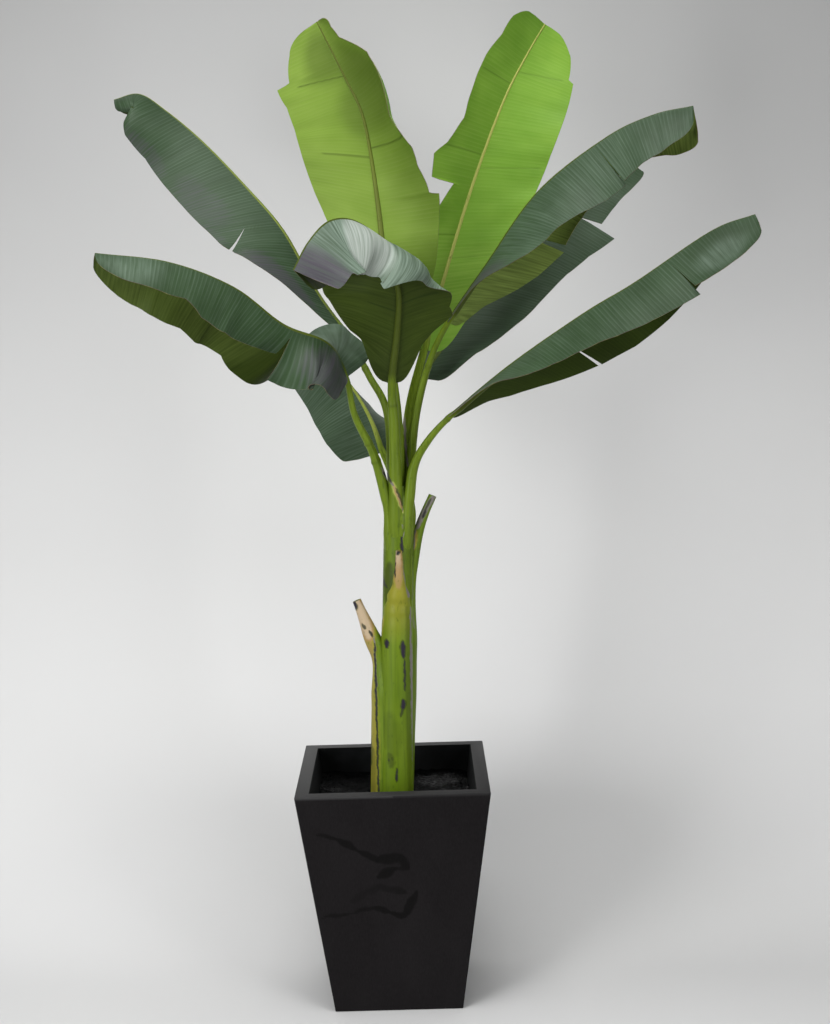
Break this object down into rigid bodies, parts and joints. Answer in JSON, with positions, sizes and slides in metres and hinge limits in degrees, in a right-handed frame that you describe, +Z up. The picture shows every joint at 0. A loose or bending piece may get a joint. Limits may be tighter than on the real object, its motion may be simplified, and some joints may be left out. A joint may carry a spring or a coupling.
{
  "type": "banana plant",
  "caption": "Young banana plant with broad arching leaves on a sheathed green stem, standing in a tapered square dark planter.",
  "frame": {"origin": "centre of the planter's flat underside, on the floor", "axes": "+Z up the stem, +X to the right and -Y to the front as the plant is seen"},
  "size_m": [1.3814, 0.8819, 2.1705],
  "materials": {
    "planter": "matte",
    "potting_mix": "satin",
    "stem": "satin",
    "foliage": "satin"
  },
  "bodies": {
    "root": {"pot": "planter", "potting_mix": "potting_mix", "pseudostem": "stem", "front_sheath": "stem", "left_sheath": "stem", "right_sheath": "stem", "upright_left_stalk": "stem", "upright_right_stalk": "stem", "front_stalk": "stem", "right_upper_stalk": "stem", "right_lower_stalk": "stem", "right_back_stalk": "stem", "left_upper_stalk": "stem", "left_lower_stalk": "stem", "left_back_stalk": "stem", "upright_left_leaf": "foliage", "upright_right_leaf": "foliage", "front_leaf": "foliage", "front_leaf_tip": "foliage", "right_upper_leaf": "foliage", "right_lower_leaf": "foliage", "right_back_leaf": "foliage", "left_upper_leaf": "foliage", "left_lower_leaf": "foliage", "left_back_leaf": "foliage"}
  },
  "joints": []
}
